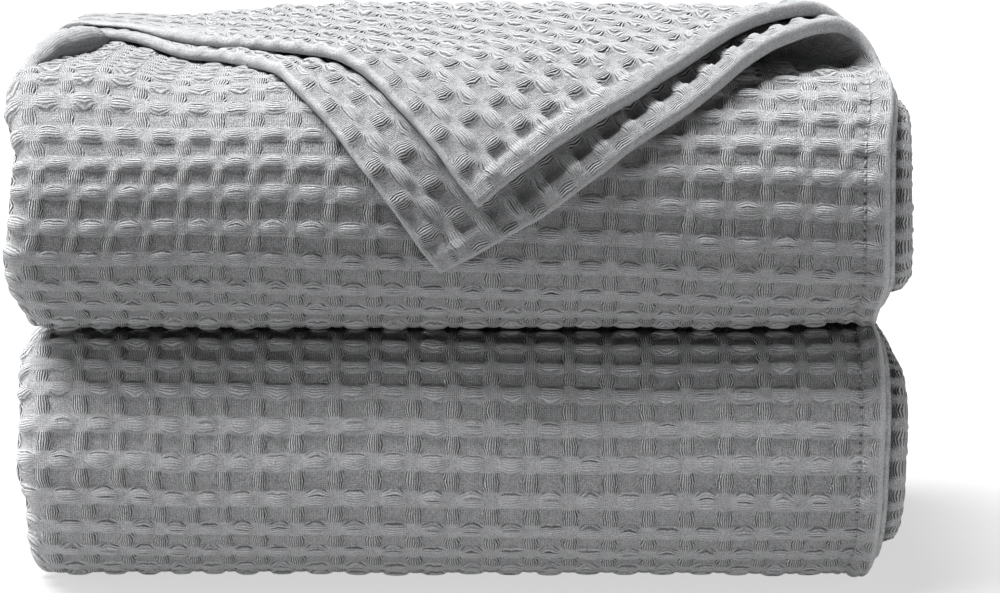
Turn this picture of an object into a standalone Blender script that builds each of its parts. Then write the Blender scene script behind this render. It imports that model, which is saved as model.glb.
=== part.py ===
"""Waffle weave cotton blanket, folded for a shelf: one cloth, one closed solid.

The blanket is folded lengthwise to a strip of four plies: a1 and b1 end in the two long
hems at the right, a2 and b2 meet in a fold there, and the left side holds a fold inside a
fold. The strip is folded in half, and the eight plies go back and forth in four legs, so two
full folds face the front (-Y) and one the back. The loose corner of plies a1 and b1 is
turned up and over the front along a slanted crease. Origin: bottom centre. +X right, +Z up.
"""

import math

import bmesh
import bpy
import numpy as np

MM = 0.001

# Cloth
PLY = 5.875 * MM  # from one ply to the next where they lie folded
SHEET = 4.2 * MM  # the lofty waffle cloth
HEM_SHEET = 5.0 * MM
HEM_WIDTH = 9.0 * MM
HEM_NOSE = 1.0 * MM  # its rounding

# Strip of four plies, across
HEM_A_X = 156.0 * MM
HEM_B_X = 158.0 * MM
RIGHT_FOLD_X = 157.5 * MM
LEFT_FOLD_X = -158.0 * MM
ACROSS = (60.0 * MM, -45.0 * MM, -115.0 * MM)  # points between the hem and the left fold

# Legs, front to back. The bends at the front have their corners' centre at y = 0.
SPINE_Y = 118.0 * MM
CORNER_PLIES = 5.2  # corner radius of a wide bend's middle, the rest of it is upright
TOP_END_Y = (166.0 * MM, 160.0 * MM)  # the strip's two free ends, on the top leg

# The strip's bends in order: which side, level of the middle and radius in plies, way round,
# and where the corners' centre lies, in plies behind that side's own
BENDS = (
    # side, middle, radius, way, shift
    ("front", 24, 6, -1, 0.0),
    ("back", 16, 2, -1, -0.8),
    ("front", 8, 6, -1, 0.0),
    ("back", 4, 2, 1, 2.0),
    ("front", 8, 2, 1, 0.8),
    ("back", 16, 6, 1, 0.0),
    ("front", 24, 2, 1, 0.8),
)
WIDE_STEPS = 8
TIGHT_STEPS = 5
LEG_STEPS = 3

# Turned corner. Cloth places: q from the long hem to the left, s along that hem from P1.
CREASE_TILT = math.radians(27.7)
CREASE_START_Y = 9.0 * MM  # P1, where the crease leaves the hem
CORNER_LENGTH = 211.0 * MM
CURL_RADIUS = 9.2 * MM  # at the hem, of the lower layer
CURL_END_RADIUS = 2.95 * MM  # at the left
CURL_REACH = 345.0 * MM
LIFT_REACH = 110.0 * MM
FLAP_SHEET = 4.0 * MM
FLAP_TUCK = 8.0 * MM  # how far each layer runs into its own ply before the crease
FLAP_LEFT_X = -182.0 * MM  # laid flat; from the left fold on it goes round that
CURL_LEAN = 0.35  # how far the curl leans left for its rise
FLAP_COLUMNS = 17
CURL_ROWS = 6
FLAP_ROWS = 11

# Height of each quarter of the stack once it has settled
LEVELS = (
    # plies, height
    (0, 0.0),
    (16, 91.5),
    (32, 189.0),
)
# How the sides have settled, by height: (height, left side in, right side in)
SIDES = (
    (0, 8.0, 1.0),
    (20, 7.5, 0.5),
    (43, 4.5, 0.0),
    (65, 7.0, 0.5),
    (88, 6.0, 2.5),
    (101, 2.8, 3.0),
    (115, 0.0, 1.5),
    (127, 2.6, 0.5),
    (136, 2.2, 0.0),
    (154, 5.5, 0.0),
    (165, 1.2, 0.0),
    (187, 6.0, 0.0),
    (203, 9.0, 0.0),
)
# By height: how far the front leans back at the left and at the right
LEANS = (
    (0, 1.5, 0.0),
    (47, 0.0, 0.0),
    (94, 2.0, 1.0),
    (130, -1.5, -1.0),
    (160, 3.0, 0.0),
    (190, 8.0, 1.5),
)

CUTTER_NAME = "crease_cutter"
CUTTER_LEFT_X = -140.0 * MM
COLOUR = (0.33, 0.34, 0.345, 1.0)
ROUGHNESS = 0.95


def clear_scene():
    for obj in list(bpy.data.objects):
        bpy.data.objects.remove(obj, do_unlink=True)


def ramp(value, start, end):
    """0 before start, 1 after end, smooth between."""
    t = np.clip((value - start) / (end - start), 0, 1)
    return t * t * (3 - 2 * t)


def settled(points):
    """The tidy fold as it has settled: sides drawn in unevenly, left side low, a crown."""
    x, y, z = np.moveaxis(points, -1, 0)
    plies, height = np.array(LEVELS).T
    pressed = np.interp(z, plies * PLY, height * MM)
    z = pressed + np.maximum(z - plies[-1] * PLY, 0)
    height, left, right = (np.array(column) * MM for column in zip(*SIDES))
    x = x + np.interp(z, height, left) * ramp(-x, 70 * MM, 140 * MM)
    x = x - np.interp(z, height, right) * ramp(x, 90 * MM, 145 * MM)
    height, left, right = (np.array(column) * MM for column in zip(*LEANS))
    share = ramp(x, -130 * MM, 60 * MM)
    lean = np.interp(z, height, left) * (1 - share) + np.interp(z, height, right) * share
    y = y + lean * ramp(-y, -60 * MM, 0)
    crown = 0.008 * ramp(y, -40 * MM, 50 * MM)
    low_left = 0.022 * ramp(-x, 50 * MM, 160 * MM)
    return np.stack([x, y, z * (1 + crown - low_left)], -1)


def arc(centre, radius, start, end, steps):
    """Points on an arc, both ends included, angles in degrees."""
    angles = np.radians(np.linspace(start, end, steps + 1))
    return np.stack([centre[0] + radius * np.cos(angles), centre[1] + radius * np.sin(angles)], -1)


def section_middle():
    """The strip across: (x, height above its middle) along the cloth from hem a to hem b."""
    outer, inner = 1.5 * PLY, 0.5 * PLY
    across = np.array(ACROSS)
    hem = np.array([0, HEM_NOSE, HEM_WIDTH])

    def row(xs, n):
        return np.stack([xs, np.full(len(xs), n)], -1)

    return np.concatenate(
        [
            row(HEM_A_X - hem, outer),
            row(across, outer),
            arc((LEFT_FOLD_X, 0), outer, 90, 270, 5),
            row(across[::-1], -outer),
            arc((RIGHT_FOLD_X, -PLY), inner, -90, 90, 4),
            row(across, -inner),
            arc((LEFT_FOLD_X, 0), inner, 270, 90, 4),
            row(across[::-1], inner),
            row(HEM_B_X - hem[::-1], inner),
        ]
    )


def section_faces():
    """The strip's outer and under faces across, from hem a to hem b."""
    middle = section_middle()
    along = np.gradient(middle, axis=0)
    along /= np.linalg.norm(along, axis=1, keepdims=True)
    side = np.stack([-along[:, 1], along[:, 0]], -1)
    outer = np.full(len(middle), SHEET / 2)
    outer[[0, -1]] -= HEM_NOSE
    # The hem is turned to the underside, so only that face stands out there.
    under = np.full(len(middle), SHEET / 2)
    under[[1, 2, -2, -3]] = HEM_SHEET - SHEET / 2
    under[[0, -1]] = HEM_SHEET - SHEET / 2 - HEM_NOSE
    return middle - side * outer[:, None], middle + side * under[:, None]


def bend(side, middle, radius, way, shift):
    """Places (y, level) and outward normals round one bend of the strip."""
    corner = min(radius, CORNER_PLIES) * PLY
    upright = radius * PLY - corner
    steps = WIDE_STEPS if radius > 2 else TIGHT_STEPS
    turn = -1 if side == "front" else 1
    centre_y = (0 if side == "front" else SPINE_Y) + shift * PLY
    angles = np.radians(np.linspace(90, -90, steps + 1) * -way)
    y = centre_y + turn * corner * np.cos(angles)
    z = middle * PLY + corner * np.sin(angles) + upright * np.clip(np.sin(angles) * 4, -1, 1)
    # The cloth's outer face is outside the bend on some and inside it on others.
    normal = np.stack([turn * np.cos(angles), np.sin(angles)], -1) * (turn * way)
    return np.stack([y, z], -1), normal


def strip_path():
    """Stations of the whole strip: places (y, z) of its middle and outward normals."""
    bends = [bend(*row) for row in BENDS]
    first_level = bends[0][0][0, 1]
    last_level = bends[-1][0][-1, 1]
    places = [np.array([[TOP_END_Y[0], first_level]])]
    normals = [np.array([[0.0, 1.0]])]
    for place, normal in [*bends, (np.array([[TOP_END_Y[1], last_level]]), None)]:
        start, end = places[-1][-1], place[0]
        parts = np.linspace(0, 1, LEG_STEPS + 1)[1:-1, None]
        places.append(start + (end - start) * parts)
        normals.append(np.repeat(normals[-1][-1:], len(parts), axis=0))
        places.append(place)
        normals.append(normals[-1][-1:] if normal is None else normal)
    return np.concatenate(places), np.concatenate(normals)


def closed_sheet(name, upper, lower):
    """A closed sheet between two faces, each a grid of points."""
    rows, columns = upper.shape[:2]
    bm = bmesh.new()
    top = [[bm.verts.new(point) for point in row] for row in upper]
    low = [[bm.verts.new(point) for point in row] for row in lower]
    for i in range(rows - 1):
        for j in range(columns - 1):
            bm.faces.new((top[i][j], top[i][j + 1], top[i + 1][j + 1], top[i + 1][j]))
            bm.faces.new((low[i][j], low[i + 1][j], low[i + 1][j + 1], low[i][j + 1]))
    rim = [(i, 0) for i in range(rows)]
    rim += [(rows - 1, j) for j in range(1, columns)]
    rim += [(i, columns - 1) for i in range(rows - 2, -1, -1)]
    rim += [(0, j) for j in range(columns - 2, 0, -1)]
    for (i, j), (k, m) in zip(rim, rim[1:] + rim[:1]):
        bm.faces.new((top[i][j], top[k][m], low[k][m], low[i][j]))
    bmesh.ops.recalc_face_normals(bm, faces=bm.faces)
    mesh = bpy.data.meshes.new(name)
    bm.to_mesh(mesh)
    bm.free()
    obj = bpy.data.objects.new(name, mesh)
    bpy.context.scene.collection.objects.link(obj)
    return obj


def folded_stack():
    """The folded strip swept along its route."""
    places, normals = strip_path()
    faces = []
    for across in section_faces():
        grid = np.empty((len(places), len(across), 3))
        grid[..., 0] = across[:, 0]
        grid[..., 1:] = places[:, None] + across[None, :, 1:] * normals[:, None]
        grid[..., 2] -= (PLY - SHEET) / 2
        faces.append(settled(grid))
    return closed_sheet("blanket", *faces)


def over_the_front(x, y, level):
    """Lays (x, run, level) on the stack: run counts back from the top front corner's centre,
    negative runs go round the upper front bend, level is the height over the strip's middle."""
    corner = CORNER_PLIES * PLY
    upright = 2 * (6 * PLY - corner)
    radius = corner + level
    wrap = np.maximum(LEFT_FOLD_X - x, 0) / level
    x = np.maximum(x, LEFT_FOLD_X) - level * np.sin(wrap)
    level = level * np.cos(wrap)
    run = np.maximum(-y, 0)
    quarter = radius * math.pi / 2
    angle = np.minimum(run, quarter) / radius + np.maximum(run - quarter - upright, 0) / radius
    down = np.clip(run - quarter, 0, upright)
    back = np.maximum(y, 0)
    top = 30 * PLY - corner - down
    place_y = back - radius * np.sin(angle)
    place_z = top + radius * np.cos(angle) - (PLY - SHEET) / 2
    return np.stack([x, place_y, place_z], -1)


def curl_radius(along, layer):
    return np.interp(along, (0, CURL_REACH), (CURL_RADIUS, CURL_END_RADIUS)) + layer * PLY


def turned_cloth(q, s, layer):
    """Where the corner's cloth lies. Layer 0 is ply a1, below, and layer 1 is ply b1."""
    cos, sin = math.cos(CREASE_TILT), math.sin(CREASE_TILT)
    along = q * cos + s * sin
    past = s * cos - q * sin
    radius = curl_radius(along, layer)
    angle = np.clip(past / radius, 0, math.pi)
    forward = -np.minimum(past, 0) - radius * np.sin(angle) + np.maximum(past - math.pi * radius, 0)
    lying = ramp(forward, 0, LIFT_REACH) * ramp(past, 0, math.pi * radius)
    spare = 2 * (radius - layer * PLY) - PLY
    rise = radius * (1 - np.cos(angle)) - spare * lying
    raised = rise * (1 - lying)
    hem_x = HEM_A_X + (HEM_B_X - HEM_A_X) * layer
    x = hem_x - along * cos - forward * sin - CURL_LEAN * raised
    y = CREASE_START_Y + along * sin - forward * cos
    return over_the_front(x, y, (1.5 - layer) * PLY + rise)


def turned_layer(layer):
    """One layer of the corner as a closed sheet that starts inside its own ply."""
    cos, sin = math.cos(CREASE_TILT), math.sin(CREASE_TILT)
    hem_x = HEM_A_X + (HEM_B_X - HEM_A_X) * layer
    q = np.linspace(0.7 * MM, 300 * MM, FLAP_COLUMNS)[:, None]
    crease = q * math.tan(CREASE_TILT)
    radius = curl_radius(q * cos + crease * sin, layer)
    curl_end = crease + math.pi * radius / cos
    left_limit = hem_x - FLAP_LEFT_X + math.pi * radius * sin - q * math.cos(2 * CREASE_TILT)
    s_end = np.minimum(CORNER_LENGTH, left_limit / math.sin(2 * CREASE_TILT))
    s_end = np.maximum(s_end, curl_end + 3 * MM)
    curl = np.linspace(0, 1, CURL_ROWS)
    rest = np.linspace(0, 1, FLAP_ROWS)[1:]
    s = np.concatenate(
        [crease - FLAP_TUCK / cos, crease + (curl_end - crease) * curl, curl_end + (s_end - curl_end) * rest],
        axis=1,
    )
    q = np.broadcast_to(q, s.shape)
    middle = turned_cloth(q, s, layer)
    step = 0.2 * MM
    across = turned_cloth(q + step, s, layer) - turned_cloth(q - step, s, layer)
    along = turned_cloth(q, s + step, layer) - turned_cloth(q, s - step, layer)
    normal = np.cross(along, across)
    normal /= np.linalg.norm(normal, axis=-1, keepdims=True)
    half = np.full(s.shape, FLAP_SHEET / 2)
    half[:, :2] = SHEET / 2 - 0.6 * MM
    upper = settled(middle + normal * half[..., None])
    lower = settled(middle - normal * half[..., None])
    return closed_sheet(f"corner_layer_{layer}", upper, lower)


def crease_cutter():
    """Removes plies a1 and b1 behind the crease, where they are turned over."""
    x = np.array([HEM_B_X + 15 * MM, *ACROSS, CUTTER_LEFT_X])[:, None]
    front = CREASE_START_Y + (HEM_A_X - x) * math.tan(CREASE_TILT)
    y = front + (230 * MM - front) * np.linspace(0, 1, 6)
    x = np.broadcast_to(x, y.shape)
    level = 30 * PLY - (PLY - SHEET) / 2
    bottom = settled(np.stack([x, y, np.full(y.shape, level)], -1))
    top = bottom + (0, 0, 4 * PLY)
    return closed_sheet(CUTTER_NAME, top, bottom)


def centre_on_origin(objects):
    """Puts the middle of the whole thing's box over the origin."""
    solid = [obj for obj in objects if obj.name != CUTTER_NAME]
    points = np.array([vert.co for obj in solid for vert in obj.data.vertices])
    middle = (points.min(axis=0) + points.max(axis=0)) / 2
    for obj in objects:
        for vert in obj.data.vertices:
            vert.co.x -= middle[0]
            vert.co.y -= middle[1]


def combine(target, other, operation):
    modifier = target.modifiers.new(other.name, "BOOLEAN")
    modifier.object = other
    modifier.operation = operation
    other.hide_render = True
    other.display_type = "WIRE"


def cotton_material():
    material = bpy.data.materials.new("grey_cotton")
    material.use_nodes = True
    shader = material.node_tree.nodes["Principled BSDF"]
    shader.inputs["Base Color"].default_value = COLOUR
    shader.inputs["Roughness"].default_value = ROUGHNESS
    shader.inputs["Metallic"].default_value = 0.0
    return material


def main():
    clear_scene()
    blanket = folded_stack()
    cutter = crease_cutter()
    layers = [turned_layer(layer) for layer in (0, 1)]
    centre_on_origin([blanket, *layers, cutter])
    combine(blanket, cutter, "DIFFERENCE")
    for layer in layers:
        combine(blanket, layer, "UNION")
    blanket.data.materials.append(cotton_material())
    blanket.data.shade_smooth()


main()
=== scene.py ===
"""Folded waffle weave cotton blanket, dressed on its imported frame.

The cloth is one rectangle. A place on it is (u, v): u is the distance across from hem a, round all
four plies of the strip to hem b, and v the distance along the strip from the first free end. Each
piece is a part of that rectangle laid where the folded strip lies, with the weave raised on it.
The shape functions repeat the frame's own named values, in metres, +Z up, seen along +Y.
"""

import math

import bpy
import numpy as np
from bpy.props import FloatProperty, FloatVectorProperty, PointerProperty
from bpy.types import Operator, Panel, PropertyGroup
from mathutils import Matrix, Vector


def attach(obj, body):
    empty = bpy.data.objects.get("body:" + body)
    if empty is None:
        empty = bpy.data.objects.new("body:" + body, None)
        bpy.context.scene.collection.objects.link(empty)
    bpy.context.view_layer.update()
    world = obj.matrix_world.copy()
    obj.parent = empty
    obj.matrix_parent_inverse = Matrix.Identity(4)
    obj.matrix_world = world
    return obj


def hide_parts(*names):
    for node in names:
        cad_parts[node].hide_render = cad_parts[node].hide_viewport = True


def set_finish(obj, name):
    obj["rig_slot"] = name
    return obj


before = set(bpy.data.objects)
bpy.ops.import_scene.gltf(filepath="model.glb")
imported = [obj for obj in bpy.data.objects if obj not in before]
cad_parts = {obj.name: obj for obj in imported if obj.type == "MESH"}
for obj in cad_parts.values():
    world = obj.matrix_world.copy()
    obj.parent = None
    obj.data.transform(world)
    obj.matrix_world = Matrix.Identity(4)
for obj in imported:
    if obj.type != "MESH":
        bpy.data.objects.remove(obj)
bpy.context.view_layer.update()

bl_info = {
    "name": "Folded waffle weave blanket",
    "version": (1, 0, 0),
    "blender": (4, 5, 0),
    "location": "3D View > Sidebar > Blanket",
    "description": "Makes a folded waffle weave cotton blanket and its studio",
    "category": "Object",
}

MM = 0.001
NODE = "blanket"
SLOT = "grey_cotton"

# The folded strip, as in the frame
PLY = 5.875 * MM
SHEET = 4.2 * MM
HEM_SHEET = 5.0 * MM
HEM_WIDTH = 9.0 * MM
HEM_A_X = 152.2 * MM
HEM_B_X = 154.6 * MM
RIGHT_FOLD_X = 157.5 * MM
LEFT_FOLD_X = -158.0 * MM
SPINE_Y = 118.0 * MM
CORNER_PLIES = 5.2
TOP_END_Y = (166.0 * MM, 160.0 * MM)
BENDS = (
    # side, middle, radius, way, shift, ply the cloth's length is measured on
    ("front", 24, 6, -1, 0.0, 1.5),
    ("back", 16, 2, -1, -0.8, 0.0),
    ("front", 8, 6, -1, 0.0, 1.5),
    ("back", 4, 2, 1, 2.0, 1.5),
    ("front", 8, 2, 1, 0.8, 0.0),
    ("back", 16, 6, 1, 0.0, 1.5),
    ("front", 24, 2, 1, 0.8, 0.0),
)
BEND_STEPS, LEG_STEPS, ARC_STEPS, ROW_POINTS = 120, 60, 24, 40
LEVELS = ((0, 0), (16, 93.2), (32, 189))  # height in mm of a level counted in plies
# By height in mm: how far the left and the right side are drawn in
SIDES = (
    (0, 5.5, 3), (20, 6.1, 2), (36, 6.8, 1.5), (45, 3.8, 1.5), (65, 4.5, 0.5), (80, 2.4, 0), (90, 1.7, 0),
    (101, 5, 2.5), (115, 1, 0), (127, 0.5, 0.8), (136, 2.4, 1.1), (145, 3, 1.1), (154, 3.5, 1.1),
    (165, 4.2, 0.6), (170, 1.8, 0), (176, -1.2, -1.5), (182, -2.5, -2.5), (187, -3, -3), (203, 2, -3.5),
)
# By height in mm: how far the left and the right side lie below the middle
DROPS = (
    (0, 0, 0), (60, 0.3, -0.5), (95, 0, -1.8), (125, 2, 0), (150, 3.2, 0), (192, 4.4, 0), (199, 6.5, 0),
    (207, 10, 0),
)
# By height in mm: how far the fold at the top left is puffed up
PUFFS = ((165, 0), (178, 2), (187, 7.2), (196, 4.5), (205, 0))
# By height in mm: how far the front lies back at the left and at the right
LEANS = ((0, 1.5, 0), (47, 0, 0), (94, 2, 1), (130, -1.5, -1), (160, 3, 0), (190, 8, 1.5))
CROWN = 0.008  # rise of the stack's middle and back, as a share of the height
MIDDLE = (-2.878 * MM, 63.555 * MM)  # of the fold's own box, which the frame puts over its origin

# The turned corner
CREASE_TILT = math.radians(27.7)
CREASE_START_Y = 9.0 * MM
CORNER_LENGTH = 211.0 * MM
CURL_RADIUS = 8.8 * MM
CURL_END_RADIUS = 2.95 * MM
CURL_REACH = 345.0 * MM
LIFT_REACH = (76.0 * MM, 85.0 * MM)  # how far each turned ply takes to come down off the curl
# How far each turned ply's long hem hangs out beyond its straight line, by length along it, in mm
SAGS = (
    ((0, 0), (40, 0), (60, 1.5), (90, 4.5), (120, 4), (150, 4.5), (170, 4.5), (195, 2), (211, 0)),
    ((0, 0), (60, 1), (95, 0), (130, -3), (175, -3.5), (200, -2.5), (211, -1.5)),
)
SAG_REACH = 70.0 * MM
FLAP_SHEET = 4.0 * MM
FLAP_TUCK = 4.0 * MM
TURNED_REACH, SEWN_REACH = 300.0 * MM, 290.0 * MM  # of the turned sheets and their stitches
TURNED_INSET = 0.8 * MM  # of the turned sheets' first row inside their edges
PRESSED = (1.2 * MM, 2.0 * MM)  # how much closer than a ply's pitch each turned ply lies
UNEVEN_HEM = 0.8 * MM  # how far the turned hems wander from their lines
UNEVEN_PITCH, UNEVEN_REACH = 13.0 * MM, 15.0 * MM
SHOULDER_X = -153.0 * MM  # where the turned plies start down over the left fold
SHOULDER_RADIUS = 2.2 * PLY
# Where the left of each turned ply's short hem is drawn back, and how far
DRAWN_BACK = ((60 * MM, 100 * MM, 28 * MM), (122 * MM, 146 * MM, 22 * MM))
SLIPPED = ((0.7 * MM, 2.5 * MM), (4.3 * MM, 4.7 * MM))  # each turned ply to the right and forward
CURL_LEAN = 0.35

# The roll at the left fold: x, y, z and radius in mm
ROLL = (
    (-161.8, -58, 183.5, 1.4), (-160.6, -47, 187.5, 2.8), (-158.6, -34, 190.5, 4.2),
    (-155.8, -20, 192.8, 5.4), (-152, -4, 192.4, 6.3), (-149.5, 9, 192, 6.4), (-147, 21, 191.5, 6),
    (-145.8, 29, 191, 5), (-143.6, 35, 190.4, 4), (-141.1, 38, 189.4, 3),
)
ROLL_SMOOTHING = 3.5 * MM

# Weave: one cell is a recessed square with the thread bundles round it
CELL = (14.0 * MM, 12.5 * MM)  # across, along
# Middles of recessed squares: distance from hem a, and their number from it
COLUMNS = ((9.2, 0), (93.9, 6), (208.0, 14), (303.5, 21), (1353.5, 96))
# Pillow rows: number from the crease's start, distance along at the right and at the left
ROW_SIDES = (38.0 * MM, 268.0 * MM)  # where those two distances were read
ROWS = (
    (-25, -115, -123), (-15, 5, -3), (0, 185.2, 177.4), (1, 196, 189.2), (2, 206.8, 201.5),
    (3, 218.1, 211.6), (4, 230, 221.4), (5, 242, 234), (6, 253.3, 245), (7, 266.2, 256.9),
    (8, 277.1, 267.3), (32, 578.5, 573.2), (33, 588.3, 586.6), (34, 600.4, 596.4), (35, 612.4, 609.9),
    (36, 624.8, 623.1), (37, 638.6, 637), (38, 651.8, 648.9), (39, 662.3, 660.4), (119, 1661.8, 1659.7),
)

# Hems and stitches
EDGE_RADIUS = HEM_SHEET / 2
HEM_PUFF = 1.3 * MM
EDGE_ROPE, ROPE_PLACE, ROPE_WIDTH = 0.7 * MM, 1.7 * MM, 1.1 * MM  # height, from the edge, width
TURNED_CORD, CORD_WIDTH = 1.1 * MM, 1.5 * MM
TURNED_RISE = 0.5 * MM  # of the hem on the turned face
SEWN_WIDTH = 1.6 * MM  # of the furrow along the stitches
SWELL = 0.4 * MM  # of the soft cloth
STITCH_PITCH = 3.2 * MM
STITCH_LENGTH = 2.5 * MM
THREAD_RADIUS = 0.38 * MM

FRONT_DETAIL, TURNED_DETAIL, SIDE_DETAIL, LOW_DETAIL = 11, 10, 8, 6  # points along one cell
WEAVE_MAP, HEM_MAP = "weave", "hem"  # UV maps: cell coordinates, and distances from the two hems


def ramp(value, start, end):
    """0 before start, 1 after end, smooth between: t * t * (3 - 2 * t)."""
    t = np.clip((value - start) / (end - start), 0, 1)
    return t * t * (3 - 2 * t)


def bulge(distance, width):
    """1 at no distance, falling off to both sides: e to the power of -(distance / width)^2."""
    return np.exp(-((distance / width) ** 2))


def scatter(i, j, seed):
    """A number from 0 to 1 for each whole pair (i, j): the fraction of a large sine."""
    value = np.sin(i * 127.1 + j * 311.7 + seed * 74.7) * 43758.5453
    return value - np.floor(value)


def drift(x, y, seed):
    """Smooth unevenness from -1 to 1: scattered numbers on a unit grid, eased between."""
    i, j = np.floor(x), np.floor(y)
    a, b = ramp(x - i, 0, 1), ramp(y - j, 0, 1)
    low = scatter(i, j, seed) * (1 - a) + scatter(i + 1, j, seed) * a
    high = scatter(i, j + 1, seed) * (1 - a) + scatter(i + 1, j + 1, seed) * a
    return 2 * (low * (1 - b) + high * b) - 1


def unit(vectors):
    """Vectors over their lengths."""
    return vectors / np.linalg.norm(vectors, axis=-1, keepdims=True)


def by_height(z, table):
    """The columns of a table in mm, each read at height z, straight between its rows."""
    height, *columns = (np.array(column) * MM for column in zip(*table))
    return [np.interp(z, height, column) for column in columns]


def settled(points):
    """The tidy fold as it has settled, at the frame's origin: levels pressed to their heights,
    sides drawn in, the front leant back, then the top's rise and puff less its drop."""
    x, y, z = np.moveaxis(points, -1, 0)
    plies, height = np.array(LEVELS).T
    pressed = np.interp(z, plies * PLY, height * MM) + np.minimum(z, 0)
    z = pressed + np.maximum(z - plies[-1] * PLY, 0)
    left, right = by_height(z, SIDES)
    x = x + left * ramp(-x, 70 * MM, 140 * MM)
    x = x - right * ramp(x, 90 * MM, 145 * MM)
    left, right = by_height(z, LEANS)
    share = ramp(x, -130 * MM, 60 * MM)
    y = y + (left * (1 - share) + right * share) * ramp(-y, -60 * MM, 0)
    crown = CROWN * ramp(y, -40 * MM, 50 * MM)
    crown = crown * (1 - 0.55 * ramp(-x, 20 * MM, 60 * MM) - 0.9 * ramp(-x, 100 * MM, 135 * MM))
    puff = by_height(z, PUFFS)[0] * ramp(-x, 104 * MM, 140 * MM)
    left, right = by_height(z, DROPS)
    drop = left * ramp(-x, 50 * MM, 160 * MM) + right * ramp(x, 90 * MM, 150 * MM)
    return np.stack([x - MIDDLE[0], y - MIDDLE[1], z * (1 + crown) - drop + puff], -1)


def walk(points):
    """Length walked along a row of points, from its first one."""
    steps = np.linalg.norm(np.diff(points, axis=0), axis=1)
    return np.concatenate([[0.0], np.cumsum(steps)])


def bend(side, middle, radius, way, shift):
    """Places (y, level) and outward normals round one bend: two quarter circles with an upright
    stretch between them where the bend is wide."""
    corner = min(radius, CORNER_PLIES) * PLY
    upright = radius * PLY - corner
    turn = -1 if side == "front" else 1
    centre_y = (0 if side == "front" else SPINE_Y) + shift * PLY
    angles = np.radians(np.linspace(90, -90, BEND_STEPS + 1) * -way)
    y = centre_y + turn * corner * np.cos(angles)
    z = middle * PLY + corner * np.sin(angles) + upright * np.clip(np.sin(angles) * 4, -1, 1)
    normal = np.stack([turn * np.cos(angles), np.sin(angles)], -1) * (turn * way)
    return np.stack([y, z], -1), normal


def strip_route():
    """Stations of the strip: length so far on the measured ply, place and outward normal, and
    the lengths at which each bend starts and ends."""
    bends = [bend(*row[:5]) for row in BENDS]
    places = [np.array([[TOP_END_Y[0], bends[0][0][0, 1]]])]
    normals, lengths, marks = [np.array([[0.0, 1.0]])], [np.zeros(1)], []
    end = (np.array([[TOP_END_Y[1], bends[-1][0][-1, 1]]]), None)
    for row, (place, normal) in zip([*BENDS, None], [*bends, end]):
        parts = np.linspace(0, 1, LEG_STEPS + 1)[1:, None]
        leg = places[-1][-1] + (place[0] - places[-1][-1]) * parts
        lengths.append(lengths[-1][-1] + np.linalg.norm(place[0] - places[-1][-1]) * parts[:, 0])
        places.append(leg)
        normals.append(np.repeat(normals[-1][-1:], len(leg), axis=0))
        if row is None:
            break
        lengths.append(lengths[-1][-1] + walk(place + normal * row[5] * PLY)[1:])
        places.append(place[1:])
        normals.append(normal[1:])
        marks.append((lengths[-2][-1], lengths[-1][-1]))
    return np.concatenate(lengths), np.concatenate(places), np.concatenate(normals), marks


def arc(centre, radius, start, end):
    """Points on an arc, both ends included, angles in degrees."""
    angles = np.radians(np.linspace(start, end, ARC_STEPS + 1))
    return np.stack([centre[0] + radius * np.cos(angles), centre[1] + radius * np.sin(angles)], -1)


def strip_section():
    """The strip across: length from hem a, place (x, height above the middle) and the unit
    normal of the cloth's outer face."""
    outer, inner = 1.5 * PLY, 0.5 * PLY

    def row(start, end, n):
        return np.stack([np.linspace(start, end, ROW_POINTS), np.full(ROW_POINTS, n)], -1)

    parts = [
        row(HEM_A_X, LEFT_FOLD_X, outer)[:-1],
        arc((LEFT_FOLD_X, 0), outer, 90, 270),
        row(LEFT_FOLD_X, RIGHT_FOLD_X, -outer)[1:-1],
        arc((RIGHT_FOLD_X, -PLY), inner, -90, 90),
        row(RIGHT_FOLD_X, LEFT_FOLD_X, -inner)[1:-1],
        arc((LEFT_FOLD_X, 0), inner, 270, 90),
        row(LEFT_FOLD_X, HEM_B_X, inner)[1:],
    ]
    middle = np.concatenate(parts)
    along = unit(np.gradient(middle, axis=0))
    return walk(middle), middle, np.stack([along[:, 1], -along[:, 0]], -1)


ROUTE_V, ROUTE, ROUTE_NORMAL, BEND_V = strip_route()
SECTION_U, SECTION, SECTION_NORMAL = strip_section()
CLOTH_U, CLOTH_V = SECTION_U[-1], ROUTE_V[-1]
LEFT_U = HEM_A_X - LEFT_FOLD_X  # where ply a1 meets the left fold
UNDER_U = LEFT_U + 1.5 * math.pi * PLY  # where that fold has come round to ply a2
RIGHT_U = UNDER_U + RIGHT_FOLD_X - LEFT_FOLD_X  # where ply a2 meets the right fold
CREASE_V = TOP_END_Y[0] - CREASE_START_Y  # where the crease leaves the long hem

# How the cloth is cut into pieces: u from under the rolled hem to inside the left fold, and the
# places along it where the front and back faces start and end
FACE_U = (-18 * MM, UNDER_U + 10 * MM)
CUTS = (
    BEND_V[0][1] + 25 * MM,
    BEND_V[2][0] - 25 * MM,
    BEND_V[2][1] + 20 * MM,
    BEND_V[3][1] + 10 * MM,
    BEND_V[5][0] - 15 * MM,
    BEND_V[5][1] + 15 * MM,
    CLOTH_V,
)


def table_rows(value, places, rows):
    """Each column of rows read at value, straight between the given places."""
    return np.stack([np.interp(value, places, column) for column in rows.T], -1)


def on_strip(u, v, lift):
    """Where a cloth place lies in the folded strip, lift off its middle: the section across is
    carried along the route, square to it."""
    section = table_rows(u, SECTION_U, SECTION) + lift[..., None] * table_rows(u, SECTION_U, SECTION_NORMAL)
    yz = table_rows(v, ROUTE_V, ROUTE) + section[..., 1:] * unit(table_rows(v, ROUTE_V, ROUTE_NORMAL))
    points = np.concatenate([section[..., :1], yz], -1)
    points[..., 2] -= (PLY - SHEET) / 2
    return settled(points)


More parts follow.
